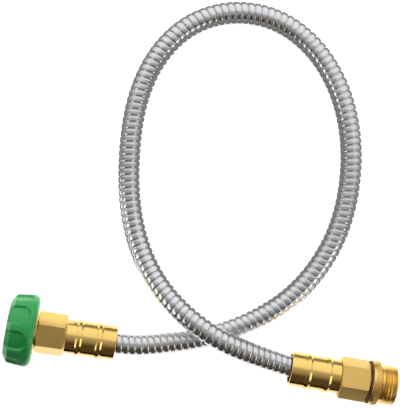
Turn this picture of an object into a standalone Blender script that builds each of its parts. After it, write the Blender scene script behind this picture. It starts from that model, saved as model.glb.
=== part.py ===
"""A short armoured garden hose extension.

One loop of steel interlock hose joins a swivelling female coupling in a lobed plastic grip to a
brass male end. Metres, +Z up. The fittings lie along X, the female one towards -X with its mouth
tipped up, and the hose loops towards +Y. The origin is on the ground, midway between the two outer
ends, under the female fitting's axis.
"""

import math

import bmesh
import bpy
import numpy as np

for old in list(bpy.data.objects):
    bpy.data.objects.remove(old)

# Clearances
SEAT_GAP = 0.0003  # between two faces that touch
SWIVEL_GAP = 0.0003  # around and behind the nose that the coupling turns on

# Hose, with the route of its middle over the ground between the two ferrules
HOSE_DIAMETER = 0.015
HOSE_DEPTH = 0.013  # how far the armour goes into a ferrule
SOCKET_RUN = 0.003  # the last part of that depth, where the ferrule holds the hose straight
ROUTE_SPACING = 2 * HOSE_DIAMETER
FEMALE_ENTRY_X = -0.0597
FEMALE_TILT = math.radians(8.5)  # the female fitting rests on its grip, with its mouth tipped up
MALE_ENTRY_X = 0.0626
MALE_ASIDE = 0.004  # the male fitting's axis lies this far towards the loop
CROSSING = (0.0085, 0.0174)  # where the strand to the male end passes over the other one
ROUTE = [
    (-0.0590, 0.0000, 0.0153),
    (-0.0419, 0.0014, 0.0129),
    (-0.0256, 0.0053, 0.0107),
    (-0.0084, 0.0104, 0.0091),
    (*CROSSING, 0.0082),
    (0.0225, 0.0250, 0.0077),
    (0.0485, 0.0440, 0.0076),
    (0.0685, 0.0710, 0.0076),
    (0.0800, 0.1025, 0.0076),
    (0.0825, 0.1360, 0.0076),
    (0.0775, 0.1690, 0.0076),
    (0.0645, 0.2000, 0.0076),
    (0.0430, 0.2255, 0.0076),
    (0.0140, 0.2410, 0.0076),
    (-0.0190, 0.2415, 0.0076),
    (-0.0475, 0.2270, 0.0076),
    (-0.0670, 0.1990, 0.0076),
    (-0.0745, 0.1660, 0.0076),
    (-0.0735, 0.1325, 0.0076),
    (-0.0675, 0.0995, 0.0077),
    (-0.0550, 0.0685, 0.0096),
    (-0.0345, 0.0425, 0.0163),
    (-0.0075, 0.0245, 0.0241),
    (*CROSSING, 0.0256),
    (0.0235, 0.0127, 0.0236),
    (0.0395, 0.0090, 0.0195),
    (0.0565, 0.0060, 0.0161),
    (0.0625, 0.0051, 0.0156),
]

# Ferrule, crimped round each end of the hose
FERRULE_LENGTH = 0.0341
FERRULE_DIAMETER = 0.0232
FERRULE_LIP = 0.0004  # rounding of the mouth
FERRULE_BASE = 0.0018  # thickness of the closed end
MOUTH_DIAMETER = 0.0200
MOUTH_DEPTH = 0.010
BEAD_RISE = 0.0006  # height of the two raised rings
BEAD_CREST = 0.0021
BEAD_FLANK = 0.0011
BEAD_PLACES = (0.0117, 0.0255)  # middles of the rings, from the mouth

# Barbed tail, the same on both fittings
WATER_BORE = 0.0080
BARB_ROOT = 0.0100
BARB_CREST = 0.0112
BARB_COUNT = 4
BARB_STEP = 0.0003  # length of the sharp edge behind a barb
NECK_DIAMETER = 0.0120
NECK_LENGTH = 0.0024
LINER_DIAMETER = HOSE_DIAMETER

# Hex bodies
HEX_ACROSS_FLATS = 0.0250
HEX_CHAMFER = math.radians(30)
HEX_CHAMFER_INSET = 0.0002  # the chamfer's edge on the end face lies this far inside the flats
FEMALE_HEX_LENGTH = 0.0199
MALE_HEX_LENGTH = 0.0199
MALE_HEX_TURN = math.radians(15.5)

# Swivel, from the hex outwards
NOSE_DIAMETER = 0.0189
NUT_STANDOFF = 0.0004  # between the hex and the nut's collar
LIP_THICKNESS = 0.0026
CLIP_THICKNESS = 0.0014
CLIP_WIDTH = 0.0018  # how far the clip's ring stands out of the nose
CLIP_OPENING = math.radians(60)
GROOVE_DEPTH = 0.0011
NOSE_COLLAR = 0.0010  # the nose's end, which holds the clip on
WASHER_THICKNESS = 0.0025
WASHER_HOLE = 0.0130
THREAD_BORE = 0.0248  # clear way inside the female thread
THREAD_DEPTH = 0.0094
THREAD_LEAD_IN = 0.0010
NUT_ACROSS_FLATS = 0.0300
COLLAR_DIAMETER = 0.0280
COLLAR_PROUD = 0.0004  # the nut's collar shows this far behind the grip
NUT_RECESS = 0.0014  # the grip's mouth stands this far past the nut

# Grip
GRIP_DIAMETER = 0.0490
GRIP_WALL = 0.0029  # the wall behind the nut's hexagon
GRIP_TAPER = 0.0014  # the grip's radius is this much smaller at its mouth
GRIP_MOUTH_ROUND = 0.0014
GRIP_BACK_ROUND = 0.0042
LOBES = 8
GRIP_TURN = math.radians(12)  # how far the topmost rib lies round towards the loop
SCOOP_WIDTH = 0.0145
SCOOP_DEPTH = 0.0015
SCOOP_LENGTH = 0.0146  # from the mouth to the end of the run-out
SCOOP_RUN_OUT = 0.0062
SCOOP_BULGE = GRIP_DIAMETER / 2 - math.sqrt(GRIP_DIAMETER**2 - SCOOP_WIDTH**2) / 2
SCOOP_HOLLOW = SCOOP_DEPTH - SCOOP_BULGE  # depth below the straight line between two ribs

# Male end, from the hex outwards
NIPPLE_STANDOFF = 0.0012
GASKET_DIAMETER = 0.0262
SPIGOT_DIAMETER = 0.0166
SPIGOT_LENGTH = 0.0080  # past the hex's end face
SPIGOT_BORE = 0.0120
FLANGE_DIAMETER = 0.0304
FLANGE_RIM = 0.0018
KNURL_LENGTH = 0.0036
FLANGE_BEVEL = 0.0015
FLANGE_BEVEL_DROP = 0.0022
UNDERCUT_DIAMETER = 0.0250
UNDERCUT_LENGTH = 0.0012
MALE_THREAD_DIAMETER = 0.0269
MALE_THREAD_LENGTH = 0.0094
MALE_THREAD_CHAMFER = 0.0012
MALE_BORE = 0.0180
MALE_BORE_DEPTH = 0.0165

# Making
CUT_OVERRUN = 0.002  # how far a cutter reaches past the face that it cuts
ROUND_SEGMENTS = 48
GRIP_SEGMENTS = 72
SCOOP_SEGMENTS = 96
SCOOP_STEPS = 6
ARC_STEPS = 5
LIP_STEPS = 3
SHARP_ANGLE = math.radians(24)

# Places along a fitting, from the ferrule's mouth outwards
HEX_START = FERRULE_LENGTH + SEAT_GAP
TAIL_TIP = HOSE_DEPTH + SEAT_GAP
LINER_END = FERRULE_LENGTH - FERRULE_BASE - SEAT_GAP
FEMALE_HEX_END = HEX_START + FEMALE_HEX_LENGTH
NUT_START = FEMALE_HEX_END + NUT_STANDOFF
LIP_END = NUT_START + LIP_THICKNESS
CLIP_START = LIP_END + SWIVEL_GAP
CLIP_END = CLIP_START + CLIP_THICKNESS
NOSE_END = CLIP_END + SWIVEL_GAP + NOSE_COLLAR
WASHER_START = NOSE_END + SEAT_GAP
WASHER_END = WASHER_START + WASHER_THICKNESS
NUT_END = WASHER_END + THREAD_DEPTH
GRIP_START = NUT_START + COLLAR_PROUD
GRIP_END = NUT_END + NUT_RECESS
POCKET_START = GRIP_START + GRIP_WALL
MALE_HEX_END = HEX_START + MALE_HEX_LENGTH
FLANGE_START = MALE_HEX_END + NIPPLE_STANDOFF
KNURL_END = FLANGE_START + FLANGE_RIM + KNURL_LENGTH
FLANGE_END = KNURL_END + FLANGE_BEVEL
THREAD_START = FLANGE_END + UNDERCUT_LENGTH
MALE_END = THREAD_START + MALE_THREAD_LENGTH

# Ribs of the grip, and how high the ferrules' mouths lie when the grip's rounded back edge and the
# male end's flange rest on the ground
SCOOP_HALF_ANGLE = math.asin(SCOOP_WIDTH / GRIP_DIAMETER)
RIB_HALF_ANGLE = math.pi / LOBES - SCOOP_HALF_ANGLE
LOWEST_RIB = math.cos(max(0.0, GRIP_TURN - RIB_HALF_ANGLE))
REST_RADIUS = (GRIP_DIAMETER / 2 - GRIP_BACK_ROUND) * LOWEST_RIB
REST_PLACE = GRIP_START + GRIP_BACK_ROUND
REST_DROP = REST_RADIUS * math.cos(FEMALE_TILT) - REST_PLACE * math.sin(FEMALE_TILT)
FEMALE_ENTRY_Z = REST_DROP + GRIP_BACK_ROUND
MALE_AXIS_Z = FLANGE_DIAMETER / 2


def srgb(hex_colour):
    """The linear colour of a six-digit sRGB one."""
    channels = [int(hex_colour[i : i + 2], 16) / 255 for i in (0, 2, 4)]
    linear = [c / 12.92 if c <= 0.04045 else ((c + 0.055) / 1.055) ** 2.4 for c in channels]
    return (*linear, 1.0)


def new_material(name, hex_colour, metallic, roughness):
    material = bpy.data.materials.new(name)
    material.use_nodes = True
    shader = material.node_tree.nodes["Principled BSDF"]
    shader.inputs["Base Color"].default_value = srgb(hex_colour)
    shader.inputs["Metallic"].default_value = metallic
    shader.inputs["Roughness"].default_value = roughness
    return material


def new_collection(name):
    collection = bpy.data.collections.new(name)
    bpy.context.scene.collection.children.link(collection)
    return collection


def new_object(name, data, collection, parent=None, turn=0.0):
    """An object at its parent's origin, turned about the parent's Z."""
    obj = bpy.data.objects.new(name, data)
    collection.objects.link(obj)
    obj.parent = parent
    obj.rotation_euler = (0, 0, turn)
    return obj


def arc(centre, radius, start, end, steps=ARC_STEPS):
    """Points (radius, z) on a circle round centre, from one angle to another, in degrees."""
    angles = [math.radians(start + (end - start) * i / steps) for i in range(steps + 1)]
    return [(centre[0] + radius * math.cos(a), centre[1] + radius * math.sin(a)) for a in angles]


def turned_mesh(name, profile, segments=ROUND_SEGMENTS):
    """A profile of (radius, z) points turned about Z, a ring if it stays off the axis."""
    is_ring = min(radius for radius, _ in profile) > 0
    following = profile[1:] + profile[:1]
    area = sum(a[0] * b[1] - b[0] * a[1] for a, b in zip(profile, following))
    points = profile if area < 0 else profile[::-1]
    edges = [(i, i + 1) for i in range(len(points) - 1)]
    if is_ring:
        edges.append((len(points) - 1, 0))
    mesh = bpy.data.meshes.new(name)
    mesh.from_pydata([(radius, 0, z) for radius, z in points], edges, [])
    blank = bpy.data.objects.new(name, mesh)
    bpy.context.scene.collection.objects.link(blank)
    screw = blank.modifiers.new("Turn", "SCREW")
    screw.steps = segments
    screw.render_steps = segments
    screw.use_merge_vertices = True
    screw.merge_threshold = 0.00001
    solid = evaluated_mesh(blank)
    bpy.data.objects.remove(blank)
    bpy.data.meshes.remove(mesh)
    solid.name = name
    return solid


def evaluated_mesh(obj):
    """A new mesh of the object with its modifiers done."""
    bpy.context.view_layer.update()
    graph = bpy.context.evaluated_depsgraph_get()
    return bpy.data.meshes.new_from_object(obj.evaluated_get(graph))


def prism_mesh(name, across_flats, start, end):
    """A hexagonal prism along Z, with two of its flats facing along X."""
    mesh = bpy.data.meshes.new(name)
    form = bmesh.new()
    corner = across_flats / 2 / math.cos(math.pi / 6)
    bmesh.ops.create_cone(
        form, cap_ends=True, segments=6, radius1=corner, radius2=corner, depth=end - start
    )
    bmesh.ops.translate(form, verts=form.verts, vec=(0, 0, (start + end) / 2))
    form.to_mesh(mesh)
    form.free()
    return mesh


def new_cutter(name, mesh, parent, turn=0.0):
    cutter = new_object(name, mesh, CUTTERS, parent, turn)
    cutter.hide_render = True
    cutter.display_type = "WIRE"
    return cutter


def combine(obj, other, operation):
    """Adds, cuts away or keeps what is common with another object."""
    modifier = obj.modifiers.new(other.name, "BOOLEAN")
    modifier.operation = operation
    modifier.object = other
    modifier.solver = "EXACT"


def settle(obj, material):
    """Does the modifiers, shades the round faces smooth and gives the piece its material."""
    mesh = evaluated_mesh(obj)
    mesh.name = obj.name
    obj.modifiers.clear()
    obj.data = mesh
    mesh.shade_smooth()
    mesh.set_sharp_from_angle(angle=SHARP_ANGLE)
    mesh.materials.clear()
    mesh.materials.append(material)
    return obj


def hex_envelope(start, end, corner_radius):
    """Profile of the turned blank whose chamfers cut back the hexagon's corners at both ends."""
    face_radius = HEX_ACROSS_FLATS / 2 - HEX_CHAMFER_INSET
    chamfer = (corner_radius - face_radius) * math.tan(HEX_CHAMFER)
    return [
        (0, start),
        (face_radius, start),
        (corner_radius, start + chamfer),
        (corner_radius, end - chamfer),
        (face_radius, end),
        (0, end),
    ]


def tail_profile():
    """The barbed tail from its tip to the neck. The liner slides on over the ramps."""
    points = [(0, TAIL_TIP), (BARB_ROOT / 2, TAIL_TIP)]
    barb = (HEX_START - NECK_LENGTH - TAIL_TIP) / BARB_COUNT
    for k in range(BARB_COUNT):
        tip = TAIL_TIP + k * barb
        points.append((BARB_CREST / 2, tip + barb - BARB_STEP))
        points.append((BARB_ROOT / 2, tip + barb))
    points.append((NECK_DIAMETER / 2, HEX_START - NECK_LENGTH))
    return points


def hex_body(name, parent, length, shaft, bore, turn=0.0):
    """A brass body: a chamfered hexagon on a turned shaft, bored through."""
    corner_radius = HEX_ACROSS_FLATS / 2 / math.cos(math.pi / 6)
    end = HEX_START + length
    body = new_object(name, prism_mesh(name, HEX_ACROSS_FLATS, HEX_START, end), PARTS, parent, turn)
    envelope = turned_mesh(name + "_chamfers", hex_envelope(HEX_START, end, corner_radius))
    combine(body, new_cutter(name + "_chamfers", envelope, parent, turn), "INTERSECT")
    shaft_mesh = turned_mesh(name + "_shaft", shaft)
    combine(body, new_cutter(name + "_shaft", shaft_mesh, parent, turn), "UNION")
    bore_mesh = turned_mesh(name + "_bore", bore)
    combine(body, new_cutter(name + "_bore", bore_mesh, parent, turn), "DIFFERENCE")
    return settle(body, BRASS)


def female_tailpiece(parent):
    """Barbed tail, hexagon and the grooved nose that the coupling turns on."""
    nose = NOSE_DIAMETER / 2
    groove = nose - GROOVE_DEPTH
    shaft = tail_profile() + [
        (NECK_DIAMETER / 2, HEX_START + CUT_OVERRUN),
        (nose, HEX_START + CUT_OVERRUN),
        (nose, LIP_END),
        (groove, LIP_END),
        (groove, NOSE_END - NOSE_COLLAR),
        (nose, NOSE_END - NOSE_COLLAR),
        (nose, NOSE_END),
        (0, NOSE_END),
    ]
    bore = [
        (0, TAIL_TIP - CUT_OVERRUN),
        (WATER_BORE / 2, TAIL_TIP - CUT_OVERRUN),
        (WATER_BORE / 2, NOSE_END + CUT_OVERRUN),
        (0, NOSE_END + CUT_OVERRUN),
    ]
    return hex_body("female_tailpiece", parent, FEMALE_HEX_LENGTH, shaft, bore)


def male_tailpiece(parent):
    """Barbed tail and hexagon with a socket for the nipple's spigot."""
    inside = HEX_START + CUT_OVERRUN
    shaft = tail_profile() + [(NECK_DIAMETER / 2, inside), (0, inside)]
    socket = SPIGOT_DIAMETER / 2 + SEAT_GAP
    floor = MALE_HEX_END - SPIGOT_LENGTH - SEAT_GAP
    bore = [
        (0, TAIL_TIP - CUT_OVERRUN),
        (WATER_BORE / 2, TAIL_TIP - CUT_OVERRUN),
        (WATER_BORE / 2, floor),
        (socket, floor),
        (socket, MALE_HEX_END + CUT_OVERRUN),
        (0, MALE_HEX_END + CUT_OVERRUN),
    ]
    return hex_body("male_tailpiece", parent, MALE_HEX_LENGTH, shaft, bore, -MALE_HEX_TURN)


def ferrule(name, parent):
    """A sleeve with two raised rings, a wide mouth and a base against the hexagon."""
    outer = FERRULE_DIAMETER / 2
    mouth = MOUTH_DIAMETER / 2
    grip = LINER_DIAMETER / 2 + SEAT_GAP
    crest = BEAD_CREST / 2
    profile = [(mouth, 0)]
    profile += arc((outer - FERRULE_LIP, FERRULE_LIP), FERRULE_LIP, -90, 0, LIP_STEPS)
    for place in BEAD_PLACES:
        profile += [
            (outer, place - crest - BEAD_FLANK),
            (outer + BEAD_RISE, place - crest),
            (outer + BEAD_RISE, place + crest),
            (outer, place + crest + BEAD_FLANK),
        ]
    profile += [
        (outer, FERRULE_LENGTH - FERRULE_LIP),
        (outer - FERRULE_LIP, FERRULE_LENGTH),
        (NECK_DIAMETER / 2 + SEAT_GAP, FERRULE_LENGTH),
        (NECK_DIAMETER / 2 + SEAT_GAP, FERRULE_LENGTH - FERRULE_BASE),
        (grip, FERRULE_LENGTH - FERRULE_BASE),
        (grip, MOUTH_DEPTH),
        (mouth, MOUTH_DEPTH),
    ]
    return settle(new_object(name, turned_mesh(name, profile), PARTS, parent), BRASS)


def liner_end(name, parent):
    """The hose's rubber liner where it is pushed over the barbs."""
    inner = BARB_CREST / 2 + SEAT_GAP
    outer = LINER_DIAMETER / 2
    profile = [(inner, TAIL_TIP), (outer, TAIL_TIP), (outer, LINER_END), (inner, LINER_END)]
    return settle(new_object(name, turned_mesh(name, profile), PARTS, parent), RUBBER)


def swivel_nut(parent):
    """Brass nut: a hexagon in the grip, a collar behind it, a lip on the nose and the bore."""
    hexagon = prism_mesh("swivel_nut", NUT_ACROSS_FLATS, POCKET_START + SEAT_GAP, NUT_END)
    body = new_object("swivel_nut", hexagon, PARTS, parent, GRIP_TURN)
    collar = COLLAR_DIAMETER / 2
    inside = POCKET_START + CUT_OVERRUN
    collar_profile = [(0, NUT_START), (collar, NUT_START), (collar, inside), (0, inside)]
    collar_mesh = turned_mesh("nut_collar", collar_profile)
    combine(body, new_cutter("nut_collar", collar_mesh, parent), "UNION")
    hole = NOSE_DIAMETER / 2 + SWIVEL_GAP
    thread = THREAD_BORE / 2
    bore_profile = [
        (0, NUT_START - CUT_OVERRUN),
        (hole, NUT_START - CUT_OVERRUN),
        (hole, LIP_END),
        (thread, LIP_END),
        (thread, NUT_END - THREAD_LEAD_IN),
        (thread + 2 * THREAD_LEAD_IN, NUT_END + THREAD_LEAD_IN),
        (0, NUT_END + THREAD_LEAD_IN),
    ]
    bore_mesh = turned_mesh("nut_bore", bore_profile)
    combine(body, new_cutter("nut_bore", bore_mesh, parent), "DIFFERENCE")
    return settle(body, BRASS)


def hose_washer(parent):
    """The rubber washer at the bottom of the thread."""
    outer = THREAD_BORE / 2 - SEAT_GAP
    inner = WASHER_HOLE / 2
    start = WASHER_START
    end = WASHER_END
    mesh = turned_mesh("hose_washer", [(inner, start), (outer, start), (outer, end), (inner, end)])
    return settle(new_object("hose_washer", mesh, PARTS, parent), RUBBER)


def retaining_clip(parent):
    """The split ring in the nose's groove, which keeps the nut on."""
    inner = NOSE_DIAMETER / 2 - GROOVE_DEPTH + SEAT_GAP
    outer = NOSE_DIAMETER / 2 + CLIP_WIDTH
    profile = [(inner, CLIP_START), (outer, CLIP_START), (outer, CLIP_END), (inner, CLIP_END)]
    ring = new_object("retaining_clip", turned_mesh("retaining_clip", profile), PARTS, parent)
    gap = bpy.data.meshes.new("clip_opening")
    form = bmesh.new()
    bmesh.ops.create_cube(form, size=1)
    width = 2 * outer * math.sin(CLIP_OPENING / 2)
    height = 2 * (CLIP_END - CLIP_START)
    bmesh.ops.scale(form, verts=form.verts, vec=(outer, width, height))
    bmesh.ops.translate(form, verts=form.verts, vec=(outer, 0, (CLIP_START + CLIP_END) / 2))
    form.to_mesh(gap)
    form.free()
    combine(ring, new_cutter("clip_opening", gap, parent), "DIFFERENCE")
    return settle(ring, SPRING_STEEL)


def scoop_mesh():
    """A wide drum with a rounded end, and how far from the axis it stands to cut one scoop."""
    half = SCOOP_WIDTH / 2
    side = (half**2 + SCOOP_HOLLOW**2) / (2 * SCOOP_HOLLOW)
    nose = SCOOP_RUN_OUT / math.cos(math.asin(1 - SCOOP_DEPTH / side))
    start = GRIP_END - SCOOP_LENGTH + SCOOP_RUN_OUT
    first = math.asin(1 - 2 * SCOOP_DEPTH / side)
    profile = [(0, start - nose * math.cos(first))]
    for i in range(SCOOP_STEPS + 1):
        angle = first + (math.pi / 2 - first) * i / SCOOP_STEPS
        profile.append((side * math.sin(angle), start - nose * math.cos(angle)))
    end = GRIP_END + CUT_OVERRUN
    flare = GRIP_TAPER * (end - start) / (GRIP_END - GRIP_MOUTH_ROUND - REST_PLACE)
    profile += [(side + flare, end), (0, end)]
    mesh = turned_mesh("scoop", profile, SCOOP_SEGMENTS)
    return mesh, GRIP_DIAMETER / 2 - SCOOP_DEPTH + side


def coupling_grip(parent):
    """Moulded grip: a rounded ring with scoops between its ribs and a six-sided pocket for the nut."""
    hole = COLLAR_DIAMETER / 2 + SEAT_GAP
    outer = GRIP_DIAMETER / 2
    profile = [(hole, GRIP_START)]
    back = (outer - GRIP_BACK_ROUND, REST_PLACE)
    profile += arc(back, GRIP_BACK_ROUND, -90, 0)
    front = (outer - GRIP_TAPER - GRIP_MOUTH_ROUND, GRIP_END - GRIP_MOUTH_ROUND)
    profile += arc(front, GRIP_MOUTH_ROUND, 0, 90)
    profile += [(hole, GRIP_END)]
    ring = turned_mesh("coupling_grip", profile, GRIP_SEGMENTS)
    body = new_object("coupling_grip", ring, PARTS, parent)
    pocket_width = NUT_ACROSS_FLATS + 2 * SEAT_GAP
    pocket = prism_mesh("grip_pocket", pocket_width, POCKET_START, GRIP_END + CUT_OVERRUN)
    combine(body, new_cutter("grip_pocket", pocket, parent, GRIP_TURN), "DIFFERENCE")
    mesh, distance = scoop_mesh()
    for k in range(LOBES):
        angle = GRIP_TURN + (k + 0.5) * 2 * math.pi / LOBES
        cutter = new_cutter(f"scoop_{k + 1}", mesh, parent, angle)
        cutter.location = (distance * math.cos(angle), distance * math.sin(angle), 0)
        combine(body, cutter, "DIFFERENCE")
    return settle(body, GREEN_PLASTIC)


def nipple_gasket(parent):
    """The rubber ring between the hexagon and the male end's flange."""
    inner = SPIGOT_DIAMETER / 2 + SEAT_GAP
    outer = GASKET_DIAMETER / 2
    start = MALE_HEX_END + SEAT_GAP
    end = FLANGE_START - SEAT_GAP
    mesh = turned_mesh("nipple_gasket", [(inner, start), (outer, start), (outer, end), (inner, end)])
    return settle(new_object("nipple_gasket", mesh, PARTS, parent), RUBBER)


def male_nipple(parent):
    """The male end: a spigot in the hexagon's socket, a flange, an undercut and the thread's barrel."""
    spigot = SPIGOT_DIAMETER / 2
    flange = FLANGE_DIAMETER / 2
    thread = MALE_THREAD_DIAMETER / 2
    profile = [
        (SPIGOT_BORE / 2, MALE_HEX_END - SPIGOT_LENGTH),
        (spigot, MALE_HEX_END - SPIGOT_LENGTH),
        (spigot, FLANGE_START),
        (flange, FLANGE_START),
        (flange, KNURL_END),
        (flange - FLANGE_BEVEL_DROP, FLANGE_END),
        (UNDERCUT_DIAMETER / 2, FLANGE_END),
        (UNDERCUT_DIAMETER / 2, THREAD_START),
        (thread, THREAD_START),
        (thread, MALE_END - MALE_THREAD_CHAMFER),
        (thread - MALE_THREAD_CHAMFER, MALE_END),
        (MALE_BORE / 2, MALE_END),
        (MALE_BORE / 2, MALE_END - MALE_BORE_DEPTH),
        (SPIGOT_BORE / 2, MALE_END - MALE_BORE_DEPTH),
    ]
    return settle(new_object("male_nipple", turned_mesh("male_nipple", profile), PARTS, parent), BRASS)


def smooth_curve(points, start_direction, end_direction, spacing, marks):
    """Points about spacing apart on the cubic spline through the given ones.

    One of them lies on each of the given points whose places in the list are the marks.
    """
    given = np.array(points)
    steps = np.linalg.norm(np.diff(given, axis=0), axis=1)
    along = np.concatenate([[0], np.cumsum(steps)])
    count = len(given)
    matrix = np.zeros((count, count))
    right = np.zeros((count, 3))
    matrix[0, 0] = matrix[-1, -1] = 1
    right[0] = start_direction
    right[-1] = end_direction
    for i in range(1, count - 1):
        before = 1 / steps[i - 1]
        after = 1 / steps[i]
        matrix[i, i - 1 : i + 2] = before, 2 * (before + after), after
        slope_before = (given[i] - given[i - 1]) * before**2
        slope_after = (given[i + 1] - given[i]) * after**2
        right[i] = 3 * (slope_before + slope_after)
    slopes = np.linalg.solve(matrix, right)
    fine = np.linspace(0, along[-1], 40 * count)
    index = np.clip(np.searchsorted(along, fine, side="right") - 1, 0, count - 2)
    length = steps[index][:, None]
    t = (fine - along[index])[:, None] / length
    curve = (
        (2 * t**3 - 3 * t**2 + 1) * given[index]
        + (t**3 - 2 * t**2 + t) * length * slopes[index]
        + (3 * t**2 - 2 * t**3) * given[index + 1]
        + (t**3 - t**2) * length * slopes[index + 1]
    )
    travelled = np.concatenate([[0], np.cumsum(np.linalg.norm(np.diff(curve, axis=0), axis=1))])
    stops = [0, *np.interp(along[marks], fine, travelled), travelled[-1]]
    stations = [0]
    for start, end in zip(stops, stops[1:]):
        stations.extend(np.linspace(start, end, round((end - start) / spacing) + 1)[1:])
    return [tuple(np.interp(s, travelled, curve[:, k]) for k in range(3)) for s in stations]


def hose():
    """The armoured hose with its liner, as one plain tube from ferrule to ferrule."""
    run = HOSE_DEPTH - SOCKET_RUN
    female_mouth = np.array((FEMALE_ENTRY_X, 0, FEMALE_ENTRY_Z))
    male_mouth = np.array((MALE_ENTRY_X, MALE_ASIDE, MALE_AXIS_Z))
    out_of_female = np.array((math.cos(FEMALE_TILT), 0, -math.sin(FEMALE_TILT)))
    into_male = np.array((1, 0, 0))
    female_socket = tuple(female_mouth - run * out_of_female)
    male_socket = tuple(male_mouth + run * into_male)
    route = [female_socket, *ROUTE, male_socket]
    crossings = [i for i, place in enumerate(route) if place[:2] == CROSSING]
    middle = smooth_curve(route, out_of_female, into_male, ROUTE_SPACING, crossings)
    female_end = female_mouth - HOSE_DEPTH * out_of_female
    male_end = male_mouth + HOSE_DEPTH * into_male
    points = [female_end, *middle, male_end]
    curve = bpy.data.curves.new("hose", "CURVE")
    curve.dimensions = "3D"
    curve.bevel_depth = HOSE_DIAMETER / 2
    curve.bevel_resolution = 3
    curve.use_fill_caps = True
    spline = curve.splines.new("POLY")
    spline.points.add(len(points) - 1)
    for point, place in zip(spline.points, points):
        point.co = (*place, 1)
    curve.materials.append(STEEL)
    return new_object("hose", curve, PARTS)


def fitting_frame(name, place, tilt):
    """An empty at a ferrule's mouth whose Z points out along the fitting."""
    frame = new_object(name, None, PARTS)
    frame.location = place
    frame.rotation_euler = (0, tilt, 0)
    return frame


PARTS = new_collection("garden_hose_extension")
CUTTERS = new_collection("cutters")
BRASS = new_material("brass", "D6B05A", 1.0, 0.25)
STEEL = new_material("stainless_steel", "B4B6BA", 1.0, 0.3)
SPRING_STEEL = new_material("spring_steel", "8C8F94", 1.0, 0.35)
RUBBER = new_material("black_rubber", "1C1C1C", 0.0, 0.6)
GREEN_PLASTIC = new_material("green_plastic", "2FA357", 0.0, 0.4)


def main():
    female_mouth = (FEMALE_ENTRY_X, 0, FEMALE_ENTRY_Z)
    female = fitting_frame("female_fitting", female_mouth, FEMALE_TILT - math.pi / 2)
    male = fitting_frame("male_fitting", (MALE_ENTRY_X, MALE_ASIDE, MALE_AXIS_Z), math.pi / 2)
    coupling = new_object("coupling", None, PARTS, female)
    coupling_grip(coupling)
    swivel_nut(coupling)
    hose_washer(coupling)
    retaining_clip(female)
    female_tailpiece(female)
    ferrule("female_ferrule", female)
    liner_end("female_liner_end", female)
    hose()
    liner_end("male_liner_end", male)
    ferrule("male_ferrule", male)
    male_tailpiece(male)
    nipple_gasket(male)
    male_nipple(male)


main()
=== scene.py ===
"""Looks of a short armoured garden hose extension: brass fittings, a green grip and a steel hose."""

import math

import bmesh
import bpy
import numpy as np
from bpy.props import FloatProperty, FloatVectorProperty, IntProperty, PointerProperty
from mathutils import Matrix, Vector


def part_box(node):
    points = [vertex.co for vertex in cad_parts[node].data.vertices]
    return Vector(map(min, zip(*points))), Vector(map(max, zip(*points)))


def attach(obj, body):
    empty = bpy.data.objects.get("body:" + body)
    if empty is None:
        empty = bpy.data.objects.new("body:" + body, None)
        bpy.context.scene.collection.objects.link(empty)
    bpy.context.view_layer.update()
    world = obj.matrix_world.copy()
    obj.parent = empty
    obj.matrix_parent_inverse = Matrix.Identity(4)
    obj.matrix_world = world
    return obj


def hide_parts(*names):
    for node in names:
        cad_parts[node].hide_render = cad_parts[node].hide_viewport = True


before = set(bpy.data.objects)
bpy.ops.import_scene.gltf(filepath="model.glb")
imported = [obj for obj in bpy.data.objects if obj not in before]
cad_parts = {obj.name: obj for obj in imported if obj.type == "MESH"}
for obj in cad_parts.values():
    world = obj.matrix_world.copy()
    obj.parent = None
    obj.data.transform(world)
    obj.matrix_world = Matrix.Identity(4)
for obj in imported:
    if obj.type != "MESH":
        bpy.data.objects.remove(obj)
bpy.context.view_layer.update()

bl_info = {
    "name": "Garden Hose Extension",
    "version": (1, 0, 0),
    "blender": (4, 5, 0),
    "location": "3D View > Sidebar > Hose",
    "description": "Models and finishes a short armoured garden hose with brass fittings",
    "category": "Add Mesh",
}

MM = 0.001
HOSE_BODY = "hose_line"
COUPLING_BODY = "coupling"
BLACK = (0, 0, 0, 1)


# Colour

def linear(hex_colour):
    """The linear RGB of a six-digit sRGB colour."""
    channels = [int(hex_colour[i : i + 2], 16) / 255 for i in (0, 2, 4)]
    return tuple(c / 12.92 if c <= 0.04045 else ((c + 0.055) / 1.055) ** 2.4 for c in channels)


def size(name, default, description):
    return FloatProperty(name=name, description=description, default=default, unit="LENGTH", precision=5)


def colour(name, hex_colour, description):
    return FloatVectorProperty(
        name=name, description=description, default=linear(hex_colour), subtype="COLOR", min=0, max=1
    )


def angle(name, degrees, description):
    return FloatProperty(
        name=name, description=description, default=math.radians(degrees), unit="ROTATION"
    )


# Fittings' lines, from the frame

class Fitting:
    """A fitting's own line: it runs out from the ferrule's mouth, with angles counted from the top."""

    def __init__(self, mouth, sign, tipped):
        self.mouth = Vector(mouth)
        self.outward = Vector((sign * math.cos(tipped), 0, math.sin(tipped)))
        self.up = Vector((-sign * math.sin(tipped), 0, math.cos(tipped)))
        self.side = self.outward.cross(self.up)

    def reach(self, node):
        """How far from the mouth a node starts and ends."""
        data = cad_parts[node].data
        places = [(vertex.co - self.mouth).dot(self.outward) for vertex in data.vertices]
        return min(places), max(places)

    def points(self, places, angles, radii):
        """World points for arrays of places along the line, angles about it and radii."""
        out = np.asarray(places)[..., None] * np.array(self.outward)
        round_up = (radii * np.cos(angles))[..., None] * np.array(self.up)
        round_side = (radii * np.sin(angles))[..., None] * np.array(self.side)
        return np.array(self.mouth) + out + round_up + round_side


# The female fitting rests on its wide grip, so its mouth is tipped up
FEMALE = Fitting((-0.0597, 0.0, 0.015374), -1, math.radians(8.5))
MALE = Fitting((0.0626, 0.0040, 0.0152), 1, 0.0)
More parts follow.
